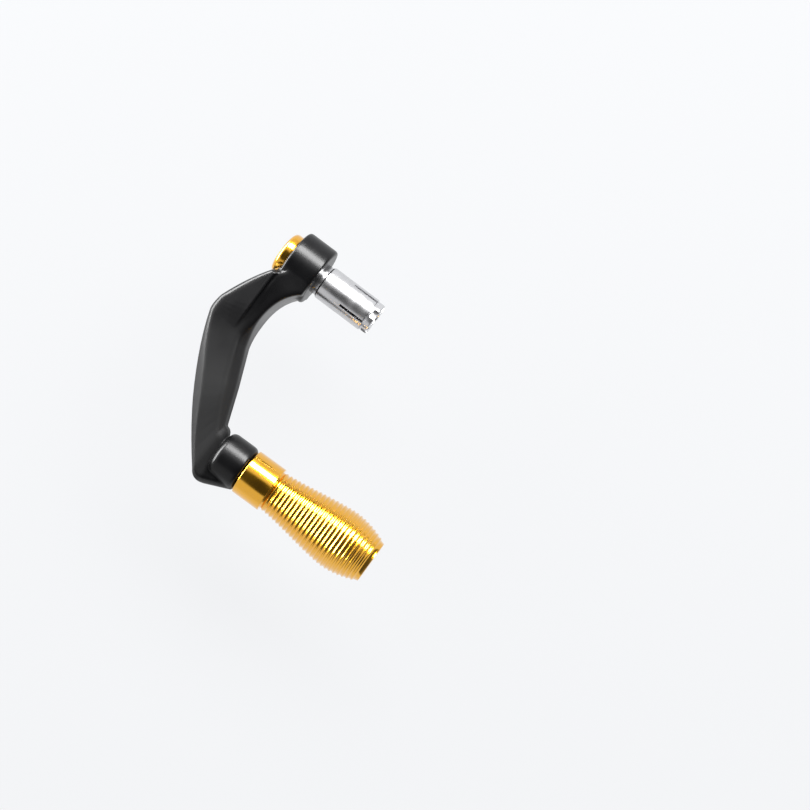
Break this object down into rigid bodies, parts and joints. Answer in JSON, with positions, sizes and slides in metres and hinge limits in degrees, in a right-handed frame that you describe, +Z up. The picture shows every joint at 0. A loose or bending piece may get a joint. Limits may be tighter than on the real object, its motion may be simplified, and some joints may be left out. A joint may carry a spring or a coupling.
{
  "type": "brake lever guard",
  "caption": "Bar-end lever guard: a curved cast arm with an expanding bar plug at one end and a ribbed turned tip at the other.",
  "frame": {"origin": "on the handlebar's axis, at the centre of the arm head's inner face, which seats against the end of the bar", "axes": "+X along the bar's axis, outwards, away from the plug; +Y forward, from the bar's axis towards the tip; +Z up; the arm is alike above and below Z = 0"},
  "size_m": [0.1147, 0.1091, 0.0268],
  "materials": {
    "arm_black": "satin black coating",
    "gold_anodised": "bright gold anodised, turned",
    "turned_aluminium": "bare turned aluminium",
    "black_steel": "black oxide",
    "zinc_steel": "zinc plated"
  },
  "bodies": {
    "root": {"arm": "arm_black", "cap": "gold_anodised", "bar_bolt": "black_steel", "expansion_sleeve": "turned_aluminium", "wedge_nut": "turned_aluminium", "tip": "gold_anodised", "tip_stud": "zinc_steel"}
  },
  "joints": []
}
